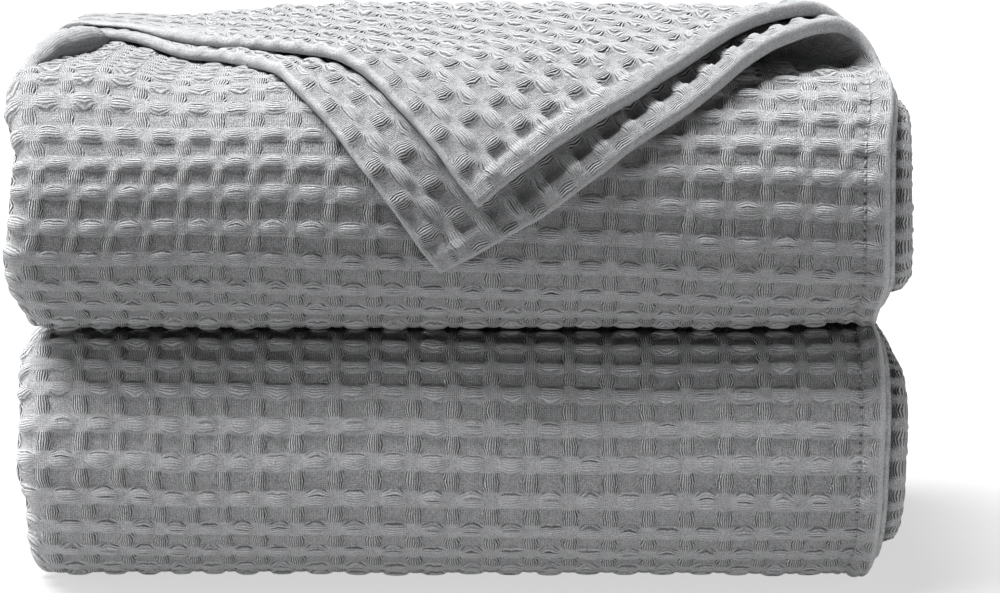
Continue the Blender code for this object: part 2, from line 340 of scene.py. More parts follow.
def over_the_front(x, y, level):
    """Lays (x, run, level) on the stack: back along the top for positive runs, and for negative
    ones down a quarter circle, an upright and the next quarter circle of the upper bend."""
    corner = CORNER_PLIES * PLY
    upright = 2 * (6 * PLY - corner)
    wrap = np.maximum(SHOULDER_X - x, 0) / SHOULDER_RADIUS
    level = level + (1.5 * PLY - level) * ramp(wrap, 0.1, 1.2)
    x = np.maximum(x, SHOULDER_X) - level * np.sin(wrap)
    level = level * np.cos(wrap)
    radius = corner + level
    run = np.maximum(-y, 0)
    quarter = radius * math.pi / 2
    angle = np.minimum(run, quarter) / radius + np.maximum(run - quarter - upright, 0) / radius
    down = np.clip(run - quarter, 0, upright)
    place_y = np.maximum(y, 0) - radius * np.sin(angle)
    place_z = 30 * PLY - corner - down + radius * np.cos(angle) - (PLY - SHEET) / 2
    return np.stack([x, place_y, place_z], -1)


def turned_cloth(q, s, layer):
    """Middle of the corner's cloth, q from the long hem and s along it from the crease's start:
    half a turn round the crease, then flat on the ply below and on over the front bend, its hems
    moved by their sag, their unevenness and the drawn-back end."""
    cos, sin = math.cos(CREASE_TILT), math.sin(CREASE_TILT)
    along = q * cos + s * sin
    past = s * cos - q * sin
    # The curl's radius falls evenly along the crease, and the next ply goes round outside
    radius = np.interp(along, (0, CURL_REACH), (CURL_RADIUS, CURL_END_RADIUS)) + layer * PLY
    angle = np.clip(past / radius, 0, math.pi)
    forward = -np.minimum(past, 0) - radius * np.sin(angle) + np.maximum(past - math.pi * radius, 0)
    lying = ramp(forward, 0, LIFT_REACH[layer]) * ramp(past, 0, math.pi * radius)
    spare = 2 * (radius - layer * PLY) - PLY + PRESSED[layer]
    rise = radius * (1 - np.cos(angle)) - spare * lying
    raised = rise * (1 - lying)
    hem_x = HEM_A_X + (HEM_B_X - HEM_A_X) * layer
    x = hem_x - along * cos - forward * sin - CURL_LEAN * raised
    y = CREASE_START_Y + along * sin - forward * cos
    length, out = np.array(SAGS[layer]).T * MM
    sag = np.interp(s, length, out) * (1 - ramp(q, 0, SAG_REACH)) * ramp(past, 0, math.pi * radius)
    long_edge, short_edge = (1 - ramp(way, 0, UNEVEN_REACH) for way in (q, CORNER_LENGTH - s))
    sag = sag + UNEVEN_HEM * drift(s / UNEVEN_PITCH, q / 0.05, 21) * long_edge
    fray = UNEVEN_HEM * drift(q / UNEVEN_PITCH, s / 0.05, 22) * short_edge
    x = x + sag * math.cos(2 * CREASE_TILT) - fray * math.sin(2 * CREASE_TILT)
    y = y - sag * math.sin(2 * CREASE_TILT) - fray * math.cos(2 * CREASE_TILT)
    start, full, back = DRAWN_BACK[layer]
    drawn = back * ramp(-x, start, full) * ramp(s, 0.3 * CORNER_LENGTH, CORNER_LENGTH)
    y = y + drawn * (1 - ramp(y, 60 * MM, 130 * MM))
    x, y = x + SLIPPED[layer][0] * lying, y - SLIPPED[layer][1] * lying
    return over_the_front(x, y, (1.5 - layer) * PLY + rise)


def turned_sheet(q, s, layer):
    """Middle of a turned ply and the unit normal of the face that shows, from small steps."""
    step = 0.2 * MM
    across = turned_cloth(q + step, s, layer) - turned_cloth(q - step, s, layer)
    along = turned_cloth(q, s + step, layer) - turned_cloth(q, s - step, layer)
    return turned_cloth(q, s, layer), unit(np.cross(across, along))


def weave_place(u, v):
    """Cell coordinates of a cloth place, whole numbers at the corners between squares, with the
    slow drift of a woven cloth that has been washed."""
    distance, column = np.array(COLUMNS).T
    a = np.interp(u, distance * MM, column) + 0.5 + np.minimum(u - distance[0] * MM, 0) / CELL[0]
    row, right, left = np.array(ROWS).T
    share = np.clip((u - ROW_SIDES[0]) / (ROW_SIDES[1] - ROW_SIDES[0]), -0.2, 1.35)
    b = np.interp(v, right * MM, row) * (1 - share) + np.interp(v, left * MM, row) * share
    return (
        a + 0.035 * drift(u / 0.05, v / 0.03, 3) + 0.03 * drift(u / 0.017, v / 0.015, 8),
        b + 0.05 * drift(u / 0.05, v / 0.05, 4) + 0.04 * drift(u / 0.02, v / 0.03, 5),
    )


def weave_height(a, b):
    """Height of the waffle off the sheet's outer face, the relief times a share: the squares lie
    deep, the upright bundles beside them dip, and those above and below are oval pillows."""
    i, j = np.floor(a), np.floor(b)
    x, y = a - i - 0.5, b - j - 0.5
    side = ramp(np.abs(x), 0.25, 0.37)
    over = ramp(np.abs(y), 0.20, 0.33)
    row = np.floor(b + 0.5)
    swell = 0.75 + 0.5 * scatter(i, row, 1)
    rise = np.maximum(1 - (x / 0.37) ** 2 - ((b - row) / 0.27) ** 2, 0)
    pillow = 0.60 * swell * np.sqrt(rise) - 0.30
    pit = -1.0 - 0.12 * scatter(i, j, 2)
    beside = 0.5 - np.abs(x)  # from the bundle's own middle
    bundle = -0.34 + 0.20 * np.maximum(1 - (beside / 0.21) ** 2, 0)
    upright = pit * (1 - side) * (1 - over) + bundle * side * (1 - over)
    depth = bpy.context.scene.blanket_cloth.relief
    return depth * (upright + pillow * (1 - side) * over - 0.32 * side * over)


def hem_profile(w):
    """The rolled edge: w runs from the under face round a half circle to the outer face.
    Gives the cloth's distance in from the edge and its lift off the sheet's middle."""
    angle = np.clip(w / EDGE_RADIUS, -math.pi / 2, math.pi / 2)
    beyond = np.maximum(np.abs(w) - EDGE_RADIUS * math.pi / 2, 0)
    centre = (SHEET - HEM_SHEET) / 2
    thin = ramp(beyond, HEM_WIDTH - EDGE_RADIUS, HEM_WIDTH - EDGE_RADIUS + 2 * MM) * (w < 0)
    u = EDGE_RADIUS * (1 - np.cos(angle)) + beyond
    return u, centre + EDGE_RADIUS * np.sin(angle) + thin * (HEM_SHEET - SHEET)


def cloth_lift(u, v, across, end, turned=False):
    """Raised weave at (u, v), which lies across from the long hem and end from the short one:
    shallower and puffed on the doubled hems, with a rope along their edge, plain where two hems
    cross, drawn in along the stitches, with the low swells of soft cloth. The turned face also
    has a soft cord beside the stitches, and a looser, deeper weave."""
    a, b = weave_place(u, v)
    long_hem, short_hem = (1 - ramp(way, 0.85 * HEM_WIDTH, 1.2 * HEM_WIDTH) for way in (across, end))
    hem = np.maximum(long_hem, short_hem)
    edge = np.minimum(across, end)
    loose = (1 - 0.4 * hem) * (1 - 0.9 * long_hem * short_hem)
    inner_long, inner_short = (ramp(way, 0.8 * HEM_WIDTH, HEM_WIDTH) for way in (across, end))
    sewn = bulge(across - HEM_WIDTH, SEWN_WIDTH) * inner_short
    sewn = np.maximum(sewn, bulge(end - HEM_WIDTH, SEWN_WIDTH) * inner_long)
    pucker = 0.5 + 0.5 * np.cos(2 * math.pi * np.where(across < end, b, a))
    puff = HEM_PUFF * hem * np.sin(math.pi * np.clip(edge / HEM_WIDTH, 0, 1)) * (0.55 + 0.45 * pucker)
    rope = EDGE_ROPE * bulge(edge - ROPE_PLACE, ROPE_WIDTH)
    swell = SWELL * drift(u / 0.035, v / 0.03, 7)
    lift = weave_height(a, b) * loose * ramp(edge, 0, 0.3 * HEM_WIDTH)
    if turned:
        cord = bulge(edge - 0.86 * HEM_WIDTH, CORD_WIDTH) * (0.7 + 0.3 * pucker)
        lift = lift * (1.15 + 0.35 * drift(a * 0.9, b * 0.9, 9)) + TURNED_CORD * cord
        lift = lift + TURNED_RISE * hem * ramp(edge, 0, 0.4 * HEM_WIDTH)
    return lift + puff + rope - sewn * MM * (0.3 + 0.7 * pucker) + swell


def grid_faces(rows, columns, first):
    """Whole quads and triangles of a grid of points, looking the way that across x along points.
    Column j starts at row first[j]; earlier corners fall together there, and flat faces go."""
    i, j = np.meshgrid(np.arange(rows - 1), np.arange(columns - 1), indexing="ij")
    i, j = i.ravel(), j.ravel()

    def corner(row, column):
        return np.maximum(row, first[column]) * columns + column

    quads = np.stack([corner(i, j), corner(i, j + 1), corner(i + 1, j + 1), corner(i + 1, j)], -1)
    left_flat, right_flat = quads[:, 0] == quads[:, 3], quads[:, 1] == quads[:, 2]
    whole = quads[~left_flat & ~right_flat]
    left, right = quads[left_flat & ~right_flat], quads[~left_flat & right_flat]
    return whole, np.concatenate([left[:, :3], right[:, [0, 1, 3]]])


def tubes(line, first, second, around, thick):
    """Points and faces of closed tubes along lines of places: first * cos + second * sin, thick
    from each place, at the angles around, and a cap at both ends."""
    ring = first[..., None, :] * np.cos(around)[:, None] + second[..., None, :] * np.sin(around)[:, None]
    points = line[..., None, :] + ring * thick
    count, rings, sides, _ = points.shape
    i, j = np.meshgrid(np.arange(rings - 1), np.arange(sides), indexing="ij")
    k = (j + 1) % sides
    quads = np.stack([i * sides + j, i * sides + k, (i + 1) * sides + k, (i + 1) * sides + j], -1)
    start = np.arange(count)[:, None] * rings * sides
    caps = start + np.arange(sides)
    quads = (start[..., None, None] + quads).reshape(-1, 4)
    return points, [quads, caps[:, ::-1], caps + (rings - 1) * sides]


def rim_faces(parts, count):
    """Quads between the open edges of a face list and those of its copy, count points on."""
    sides = [np.stack([part, np.roll(part, -1, axis=1)], -1).reshape(-1, 2) for part in parts]
    edges = np.concatenate(sides)
    keys = np.sort(edges, axis=1) @ np.array([count, 1])
    _, index, uses = np.unique(keys, return_index=True, return_counts=True)
    a, b = edges[index[uses == 1]].T
    return np.stack([b, a, a + count, b + count], -1)


def new_object(name, data):
    """An object with this data, linked to the scene."""
    obj = bpy.data.objects.new(name, data)
    bpy.context.scene.collection.objects.link(obj)
    return obj


def make_piece(name, points, weave, hem, parts, finish=None):
    """A mesh object from a grid of points, their cell coordinates, their distances from the long
    and the short hem in hem widths, and lists of faces; unused points go."""
    used, flat = np.unique(np.concatenate([part.ravel() for part in parts]), return_inverse=True)
    sizes = np.concatenate([np.full(len(part), part.shape[1]) for part in parts])
    starts = np.concatenate([[0], np.cumsum(sizes)[:-1]])
    mesh = bpy.data.meshes.new(name)
    mesh.vertices.add(len(used))
    mesh.vertices.foreach_set("co", points.reshape(-1, 3)[used].astype(np.float32).ravel())
    mesh.loops.add(len(flat))
    mesh.loops.foreach_set("vertex_index", flat.astype(np.int32))
    mesh.polygons.add(len(sizes))
    mesh.polygons.foreach_set("loop_start", starts.astype(np.int32))
    for layer_name, places in ((WEAVE_MAP, weave), (HEM_MAP, hem)):
        layer = mesh.uv_layers.new(name=layer_name)
        layer.uv.foreach_set("vector", places.reshape(-1, 2)[used][flat].astype(np.float32).ravel())
    mesh.update(calc_edges=True)
    mesh.validate()
    mesh.shade_smooth()
    obj = new_object(name, mesh)
    obj.data.materials.append(finish or cotton())
    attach(obj, "root")
    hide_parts(NODE)
    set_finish(obj, SLOT)
    return obj


def from_hems(u, v):
    """How far a cloth place lies from the nearer long hem and from the nearer short one."""
    return np.minimum(u, CLOTH_U - u), np.minimum(v, CLOTH_V - v)


def steps_between(start, end, step):
    """Evenly spaced places from start to end, about a step apart."""
    return np.linspace(start, end, max(int(round((end - start) / step)), 1) + 1)


def started_grid(across, along, start):
    """A grid of cloth places whose columns begin at start, and each column's first row."""
    first = np.round((start - along[0]) / (along[1] - along[0])).astype(int)
    first = np.clip(first, 0, len(along) - 2)
    grid = np.repeat(along[:, None], len(across), axis=1)
    grid[first, np.arange(len(across))] = start
    return np.broadcast_to(across, grid.shape), grid, first


def strip_panel(name, u_range, v_range, samples, first_v=np.zeros_like, hem_b=False):
    """Part of ply a's or b's outer face. Left of 0, u goes round the rolled hem to its under face.
    first_v(u) gives where along the strip each column starts at the earliest. With hem_b, u runs
    from hem b."""
    w = steps_between(*u_range, CELL[0] / samples)
    v = steps_between(*v_range, CELL[1] / samples)
    u, base = hem_profile(w) if u_range[0] < 0 else (w, np.full(len(w), SHEET / 2))
    grid_u, grid_v, first = started_grid(u, v, np.clip(first_v(u), v[0], v[-1]))
    under = np.where(w < 0, -1.0, 1.0)
    if hem_b:
        grid_u = CLOTH_U - grid_u
    across, end = from_hems(grid_u, grid_v)
    lift = base + under * cloth_lift(grid_u, grid_v, across, end)
    points = on_strip(grid_u, grid_v, lift)
    whole, triangles = grid_faces(len(v), len(w), first)
    weave = np.stack(weave_place(grid_u * under, grid_v), -1)
    hem = np.stack([across, end], -1) / HEM_WIDTH
    parts = [whole, triangles] if hem_b else [whole[:, ::-1], triangles[:, ::-1]]
    return make_piece(name, points, weave, hem, parts)


def closed_sheet(name, upper, lower, weave, hem, top, finish=None):
    """A piece from a sheet's two faces, the lower one turned over, and the rim between them."""
    count = upper.shape[0] * upper.shape[1]
    parts = [*top, *[part[:, ::-1] + count for part in top], rim_faces(top, count)]
    points, weave, hem = (np.stack(pair) for pair in ((upper, lower), (weave, weave), (hem, hem)))
    return make_piece(name, points, weave, hem, parts, finish)


def turned_piece(name, layer):
    """One turned ply as a closed sheet: the face that shows is the cloth's under face."""
    q = steps_between(TURNED_INSET, TURNED_REACH, CELL[0] / TURNED_DETAIL)
    s = steps_between(-FLAP_TUCK, CORNER_LENGTH - TURNED_INSET, CELL[1] / TURNED_DETAIL)
    start = q * math.tan(CREASE_TILT) - FLAP_TUCK / math.cos(CREASE_TILT)
    grid_q, grid_s, first = started_grid(q, s, start)
    middle, normal = turned_sheet(grid_q, grid_s, layer)
    end = CORNER_LENGTH - grid_s
    edge = np.minimum(grid_q, end)
    nose = EDGE_RADIUS - np.sqrt(np.maximum(EDGE_RADIUS**2 - np.maximum(EDGE_RADIUS - edge, 0) ** 2, 0))
    thick = FLAP_SHEET / 2 + 0.5 * MM * (1 - ramp(edge, HEM_WIDTH, HEM_WIDTH + 2 * MM))
    v = CREASE_V - grid_s
    rise = thick - nose + cloth_lift(grid_q, v, grid_q, end, True)
    upper = settled(middle + normal * rise[..., None])
    lower = settled(middle - normal * (thick - nose - 0.4 * MM)[..., None])
    top = list(grid_faces(len(s), len(q), first))
    weave = np.stack(weave_place(grid_q, v), -1)
    hem = np.stack([grid_q, end], -1) / HEM_WIDTH
    return closed_sheet(name, upper, lower, weave, hem, top, cotton(turned=True))


def core_piece():
    """All four plies of the strip as one plain closed sheet under the raised faces. On the top
    leg plies a1 and b1 stop at the crease."""
    wide, turn = np.arange(0, 1.01, 1 / 12), np.arange(0, 1.01, 1 / 6)
    columns = [
        [0, 3 * MM, HEM_WIDTH],
        LEFT_U * wide[1:],
        LEFT_U + (UNDER_U - LEFT_U) * turn,
        UNDER_U + (RIGHT_U - UNDER_U) * wide,
        RIGHT_U + 0.5 * math.pi * PLY * turn,
        CLOTH_U - LEFT_U - 0.5 * math.pi * PLY * (1 - turn) - 2 * MM,
        CLOTH_U - LEFT_U * wide,
        [CLOTH_U - HEM_WIDTH, CLOTH_U - 3 * MM],
    ]
    u = np.unique(np.concatenate(columns).round(6))
    stations = [np.linspace(0, TOP_END_Y[0], 9)[:-1]]
    for (start, end), (nearest, _) in zip(BEND_V, [*BEND_V[1:], (CLOTH_V, 0)]):
        stations += [np.linspace(start, end, 15)[:-1], np.linspace(end, nearest, 6)[:-1]]
    v = np.append(np.concatenate(stations), CLOTH_V)
    grid_u, grid_v = np.meshgrid(u, v)
    # On the top leg, plies a1 and b1 start at the crease; the left fold eases from one to the other.
    across, _ = from_hems(grid_u, grid_v)
    start = np.where(across < LEFT_U, np.maximum(CREASE_V - across * math.tan(CREASE_TILT), 0), 0)
    top_leg = grid_v < TOP_END_Y[0]
    grid_v = np.where(top_leg, start + grid_v * (1 - start / TOP_END_Y[0]), grid_v)
    outer = on_strip(grid_u, grid_v, np.full(grid_u.shape, 0.5 * MM))
    under = on_strip(grid_u, grid_v, np.full(grid_u.shape, -SHEET / 2))
    whole, _ = grid_faces(len(v), len(u), np.zeros(len(u), int))
    weave = np.stack(weave_place(grid_u, grid_v), -1)
    hem = np.stack(from_hems(grid_u, grid_v), -1) / HEM_WIDTH
    return closed_sheet("folded_plies", outer, under, weave, hem, [whole[:, ::-1]])


def rolled_fold():
    """The left fold where it twists up into the turned corner: a soft tube along ROLL, its
    radius breathing with slow noise, both ends closed and tucked into the cloth."""
    x, y, z, radius = np.array(ROLL).T * MM
    t = walk(np.stack([x, y, z], -1))
    fine = steps_between(0, t[-1], 0.9 * MM)
    knots = np.linspace(0, t[-1], 200)
    soft = bulge(fine[:, None] - knots, ROLL_SMOOTHING)
    soft /= soft.sum(1, keepdims=True)
    line = soft @ np.stack([np.interp(knots, t, value) for value in (x, y, z)], -1)
    thick = soft @ np.interp(knots, t, radius)
    from_end = np.minimum(fine, t[-1] - fine) / (2 * MM)
    closing = np.sqrt(np.clip(1 - (1 - from_end).clip(0, 1) ** 2, 0.01, 1))
    along = unit(np.gradient(line, axis=0))
    aside = unit(np.cross(along, (0, 0, 1.0)))
    over = np.cross(aside, along)
    around = np.linspace(0, 2 * math.pi, 41)[:-1]
    uneven = 1 + 0.10 * drift(fine[:, None] / 0.006, 3 + np.cos(around) * 1.5, 5)
    uneven = uneven + 0.05 * drift(fine[:, None] / 0.0025, np.sin(around) * 3, 6)
    thick = (thick * closing)[:, None, None] * uneven[..., None]
    points, parts = tubes(line[None], aside[None], over[None], around, thick)
    weave = np.stack(np.broadcast_arrays(fine[:, None] / CELL[0], around / 4 + 7.5), -1)
    parts = [part[:, ::-1] for part in parts]
    return make_piece("left_roll", points, weave, np.full(weave.shape, 0.5), parts)


def sewn_line(name, surface, places, thread):
    """A row of stitches: each is a short thread bowed up from the cloth, a ring of six points
    carried along half a sine and narrowing at both ends. places are the middles (u, v) on
    surface(u, v, lift) and the steps (du, dv) of one stitch's length."""
    middle, step = places
    t = np.linspace(0, 1, 5)
    around = np.linspace(0, 2 * math.pi, 6, endpoint=False)
    u = middle[:, 0, None] + step[:, 0, None] * (t - 0.5)
    v = middle[:, 1, None] + step[:, 1, None] * (t - 0.5)
    base = surface(u, v, 0.0)
    along = unit(np.gradient(base, axis=1))
    out = unit(surface(u, v, MM) - base)
    aside = np.cross(along, out)
    line = base + out * ((np.sin(math.pi * t) - 0.45) * 1.3 * THREAD_RADIUS)[:, None]
    thick = THREAD_RADIUS * np.sqrt(np.clip(1 - (2 * t - 1) ** 2, 0.08, 1))[:, None, None]
    points, parts = tubes(line, out, aside, around, thick)
    weave = np.stack(np.broadcast_arrays(t[:, None], around, points[..., 0])[:2], -1)
    return make_piece(name, points, weave, weave + 9, parts, thread)


def strip_face(u, v, lift):
    """Outer face of the folded strip, weave included."""
    return on_strip(u, v, SHEET / 2 + lift + cloth_lift(u, v, u, v))


def turned_face(q, s, lift, layer):
    """The shown face of one turned ply, weave included."""
    middle, normal = turned_sheet(q, s, layer)
    rise = FLAP_SHEET / 2 + lift + cloth_lift(q, CREASE_V - s, q, CORNER_LENGTH - s, True)
    return settled(middle + normal * rise[..., None])


def stitch_row(start, end):
    """Middles and steps of stitches from one cloth place to another, about a pitch apart."""
    start, end = np.array(start), np.array(end)
    span = np.linalg.norm(end - start)
    count = int(span / STITCH_PITCH)
    share = (np.arange(count) + 0.5) / count
    middle = start + (end - start) * share[:, None]
    return middle, np.repeat(((end - start) / span * STITCH_LENGTH)[None], count, axis=0)


class Value:
    """A value in a material. Arithmetic on it adds the Math nodes."""

    def __init__(self, finish, socket):
        self.finish, self.socket = finish, socket

    def math(self, operation, *others):
        return self.finish.math(operation, self, *others)

    def __add__(self, other):
        return self.math("ADD", other)

    def __mul__(self, other):
        return self.math("MULTIPLY", other)

    def __sub__(self, other):
        return self.math("SUBTRACT", other)

    def __truediv__(self, other):
        return self.math("DIVIDE", other)

    def __rsub__(self, other):
        return self.finish.math("SUBTRACT", other, self)

    def __rtruediv__(self, other):
        return self.finish.math("DIVIDE", other, self)

    __radd__ = __add__
    __rmul__ = __mul__

    def __abs__(self):
        return self.math("ABSOLUTE")

    def fract(self):
        return self.math("FRACT")

    def floor(self):
        return self.math("FLOOR")

    def sine(self):
        return self.math("SINE")

    def ramp(self, start, end):
        """0 before start, 1 after end, smooth between."""
        sockets = {"Value": self, "From Min": start, "From Max": end}
        return self.finish.node("ShaderNodeMapRange", sockets, {"interpolation_type": "SMOOTHSTEP"})


class Finish:
    """One material: its nodes are added by node()."""

    def __init__(self, name):
        self.material = bpy.data.materials.new(name)
        self.material.use_nodes = True
        self.tree = self.material.node_tree
        self.tree.nodes.clear()

    def node(self, kind, sockets=None, settings=None, output=0):
        """Adds a node with its settings and its sockets' values or links. Gives an output."""
        node = self.tree.nodes.new(kind)
        for key, value in (settings or {}).items():
            setattr(node, key, value)
        for key, value in (sockets or {}).items():
            if isinstance(value, Value):
                self.tree.links.new(value.socket, node.inputs[key])
            else:
                node.inputs[key].default_value = value
        return Value(self, node.outputs[output]) if node.outputs else node

    def math(self, operation, *values):
        return self.node("ShaderNodeMath", dict(enumerate(values)), {"operation": operation})

    def noise(self, vector, scale, detail=2.0):
        return self.node("ShaderNodeTexNoise", {"Vector": vector, "Scale": scale, "Detail": detail})

    def solid(self):
        """Object coordinates."""
        return self.node("ShaderNodeTexCoord", output="Object")

    def both(self, uv_map):
        """A UV map, and its two coordinates."""
        place = self.node("ShaderNodeUVMap", settings={"uv_map": uv_map})
        split = self.node("ShaderNodeSeparateXYZ", {"Vector": place})
        return place, split, Value(self, split.socket.node.outputs["Y"])

    def scattered(self, column, row):
        """A number from 0 to 1 of each cell's own."""
        place = self.node("ShaderNodeCombineXYZ", {"X": column, "Y": row})
        return self.node("ShaderNodeTexWhiteNoise", {"Vector": place}, {"noise_dimensions": "2D"})

    def surface(self, colour, shade, sockets):
        """The colour times the shade, with the shader's other sockets, as the material's surface.
        Sockets 0, 6 and 7 of the Mix node are its factor and colours, and output 2 is the colour."""
        tint = self.node("ShaderNodeCombineColor", {"Red": shade, "Green": shade, "Blue": shade})
        settings = {"data_type": "RGBA", "blend_type": "MULTIPLY"}
        base = self.node("ShaderNodeMix", {0: 1.0, 6: (*colour, 1.0), 7: tint}, settings, 2)
        shader = self.node("ShaderNodeBsdfPrincipled", {"Base Color": base, **sockets})
        self.node("ShaderNodeOutputMaterial", {"Surface": shader})
        return self.material


# Noise scale and detail, in object coordinates, of the yarn's grain, its fibres and the tufts
GRAINS = ((2000.0, 3.0), (5300.0, 2.0), (420.0, 2.0))
# Threads in a cell: both ways on the flat ground, across a bundle and across a pillow
GROUND_THREADS, BUNDLE_THREADS, PILLOW_THREADS = (21, 19), 15, 13
THREAD_BUMP = 0.45 * MM


def cotton(turned=False):
    """Washed grey cotton, made once for each face: threads on the weave's own cell coordinates,
    with painted shade in its recesses and thread gaps and painted highlights on crests and pillows.
    Stitch holes, darkened with painted shade, show on the outer face only."""
    name = "waffle_cotton_turned" if turned else "waffle_cotton"
    if name in bpy.data.materials:
        return bpy.data.materials[name]
    cloth = bpy.context.scene.blanket_cloth
    finish = Finish(name)
    place, u, v = finish.both(WEAVE_MAP)
    _, long_hem, short_hem = finish.both(HEM_MAP)
    wobble = finish.noise(place, 2.6) - 0.5
    solid = finish.solid()
    fine, fuzz, tufts = (finish.noise(solid, *grain) - 0.5 for grain in GRAINS)
    turn = 2 * math.pi
    x, y = u.fract() - 0.5, v.fract() - 0.5  # from the square's middle
    beside, crossing = (u + 0.5).fract() - 0.5, (v + 0.5).fract() - 0.5  # from the ridges' middles
    side = abs(x).ramp(0.27, 0.33)
    over = abs(y).ramp(0.22, 0.28)
    lone = finish.scattered(u.floor(), (v + 0.5).floor())
    lone_bundle = finish.scattered((u + 0.5).floor(), v.floor() + 0.5)
    rib = (u * (GROUND_THREADS[0] * turn)).sine()
    plain = rib * 0.6 + (v * (GROUND_THREADS[1] * turn)).sine() * 0.35
    crossed = (1 - long_hem.ramp(0.85, 1.0)) * (1 - short_hem.ramp(0.85, 1.0))
    nearest = long_hem.math("MINIMUM", short_hem)
    woven = (1 - crossed) * nearest.ramp(0.18, 0.36)
    # Bundles of long threads that spread in their middle, like a barrel, tied at both ends
    spread = 0.72 + 0.28 * (1 - abs(y) * 3.2).math("MAXIMUM", 0.0)
    straight = beside / spread + wobble * 0.10 + (lone_bundle - 0.5) * 0.1
    upright = (straight * (BUNDLE_THREADS * turn)).sine()
    arch = 0.55 + 0.45 * (1 - x * x * 9.0).math("MAXIMUM", 0.0)
    lens = crossing / arch + (lone - 0.5) * 0.14 * (1 - abs(x) * 3.0) + wobble * 0.09
    wavy = (lens * (PILLOW_THREADS * turn)).sine()
    bundle, pillow = side * (1 - over) * woven, (1 - side) * over * woven
    deep, flat = (1 - side) * (1 - over) * woven, side * over * woven
    # Gaps between a bundle's threads, and the slit where a pillow's threads part: dented in the bump and
    # darkened as painted shade
    parted = bundle * (1 - upright.ramp(-1.0, 0.1)) * (0.45 + abs(beside / spread).ramp(0.06, 0.19) * 0.55)
    middle = abs(lens + (lone - 0.5) * 0.30)
    slit = pillow * (1 - middle.ramp(0.004, 0.032)) * (1 - abs(x).ramp(0.12, 0.27)) * lone.ramp(0.2, 0.7)
    lines = pillow * (1 - wavy.ramp(-1.0, -0.35)) * (0.5 + fine * 2.0)
    hollow = pillow * (1 - abs(abs(lens) - 0.24).ramp(0.0, 0.04)) * (1 - abs(x).ramp(0.2, 0.34))
    ground = deep * 0.6 + flat * 0.5 + crossed * 0.8 * nearest.ramp(0.15, 0.3)
    threads = bundle * upright * 1.6 + pillow * wavy * 0.8 + ground * plain
    height = threads + fine * 2.2 + fuzz * 1.4 + tufts * 2.5
    height = height - slit * 2.5 - parted * 2.2 - hollow * 0.9
    # The shade: random tone from the yarn's grain, fibres and tufts, with painted highlights on the thread
    # crests and painted shade in their valleys
    shade = 1.03 + threads * 0.14 + fine * 1.7 + fuzz * 1.4 + tufts * 0.3
    # Painted shade in the deep squares and on the lower crossings, and a slight painted highlight on the
    # raised pillows
    shade = shade - deep * 0.25 - flat * 0.10 + pillow * 0.04
    # Painted shade in the pillows' slits, between the bundle threads, between the pillow threads and in the
    # groove round each pillow
    shade = shade - slit * 0.75 - parted * 1.25 - lines * 0.6 - hollow * 0.5
    if not turned:
        # The stitch line one hem width in, with a hole at each stitch's end; both are dented in the bump and
        # darkened with painted shade
        pitch = HEM_WIDTH / STITCH_PITCH
        seam = (1 - abs(long_hem - 1).ramp(0.03, 0.09)) * short_hem.ramp(0.9, 1.0)
        hole = abs((short_hem * pitch).fract() - 0.5).ramp(0.30, 0.46)
        holes = seam * hole * (0.25 + finish.scattered((short_hem * pitch + 0.5).floor(), 3.0) * 0.75)
        height = height - seam * 0.8 - holes * 2.2
        # Painted shade along the stitch line and in its holes
        shade = shade - seam * 0.10 - holes * 0.55
    bump = {"Strength": cloth.thread_depth, "Distance": THREAD_BUMP, "Height": height}
    sheen = {"Sheen Weight": 0.2, "Sheen Roughness": 0.5}
    matt = {"Roughness": 0.92, "Specular IOR Level": 0.2, **sheen}
    return finish.surface(cloth.colour, shade, {**matt, "Normal": finish.node("ShaderNodeBump", bump)})


def sewing_thread():
    """Twisted grey thread: fine slanting ribs along each stitch, with painted shade in their grooves and
    lighter crests.
    """
    cloth = bpy.context.scene.blanket_cloth
    finish = Finish("sewing_thread")
    _, along, around = finish.both(WEAVE_MAP)
    ply = (along * 40 + around * 2).sine()
    bump = finish.node("ShaderNodeBump", {"Strength": 0.5, "Distance": 0.1 * MM, "Height": ply})
    # Painted shade in the rib grooves and painted highlight on their crests
    return finish.surface(cloth.colour, 0.92 + ply * 0.12, {"Roughness": 0.7, "Normal": bump})


def floor_finish(colour, glow):
    """A matt floor with a little broad grain, lit from within by glow."""
    finish = Finish("studio_floor")
    shade = 0.98 + finish.noise(finish.solid(), 3.0, 4.0) * 0.04
    light = {"Emission Color": (1, 1, 1, 1), "Emission Strength": glow}
    return finish.surface(colour, shade, {"Roughness": 0.9, **light})


class BlanketCloth(PropertyGroup):
    """Sizes and colours of the cloth that a user would change."""

    relief: FloatProperty(
        name="Relief", description="Depth of the waffle's squares",
        default=1.9 * MM, min=0, max=2.2 * MM, unit="LENGTH",
    )
    thread_depth: FloatProperty(
        name="Threads", description="How strongly single threads stand out",
        default=0.8, min=0, max=1, subtype="FACTOR",
    )
    colour: FloatVectorProperty(
        name="Colour", description="The cotton's own grey",
        default=(0.275, 0.278, 0.285), size=3, min=0, max=1, subtype="COLOR",
    )


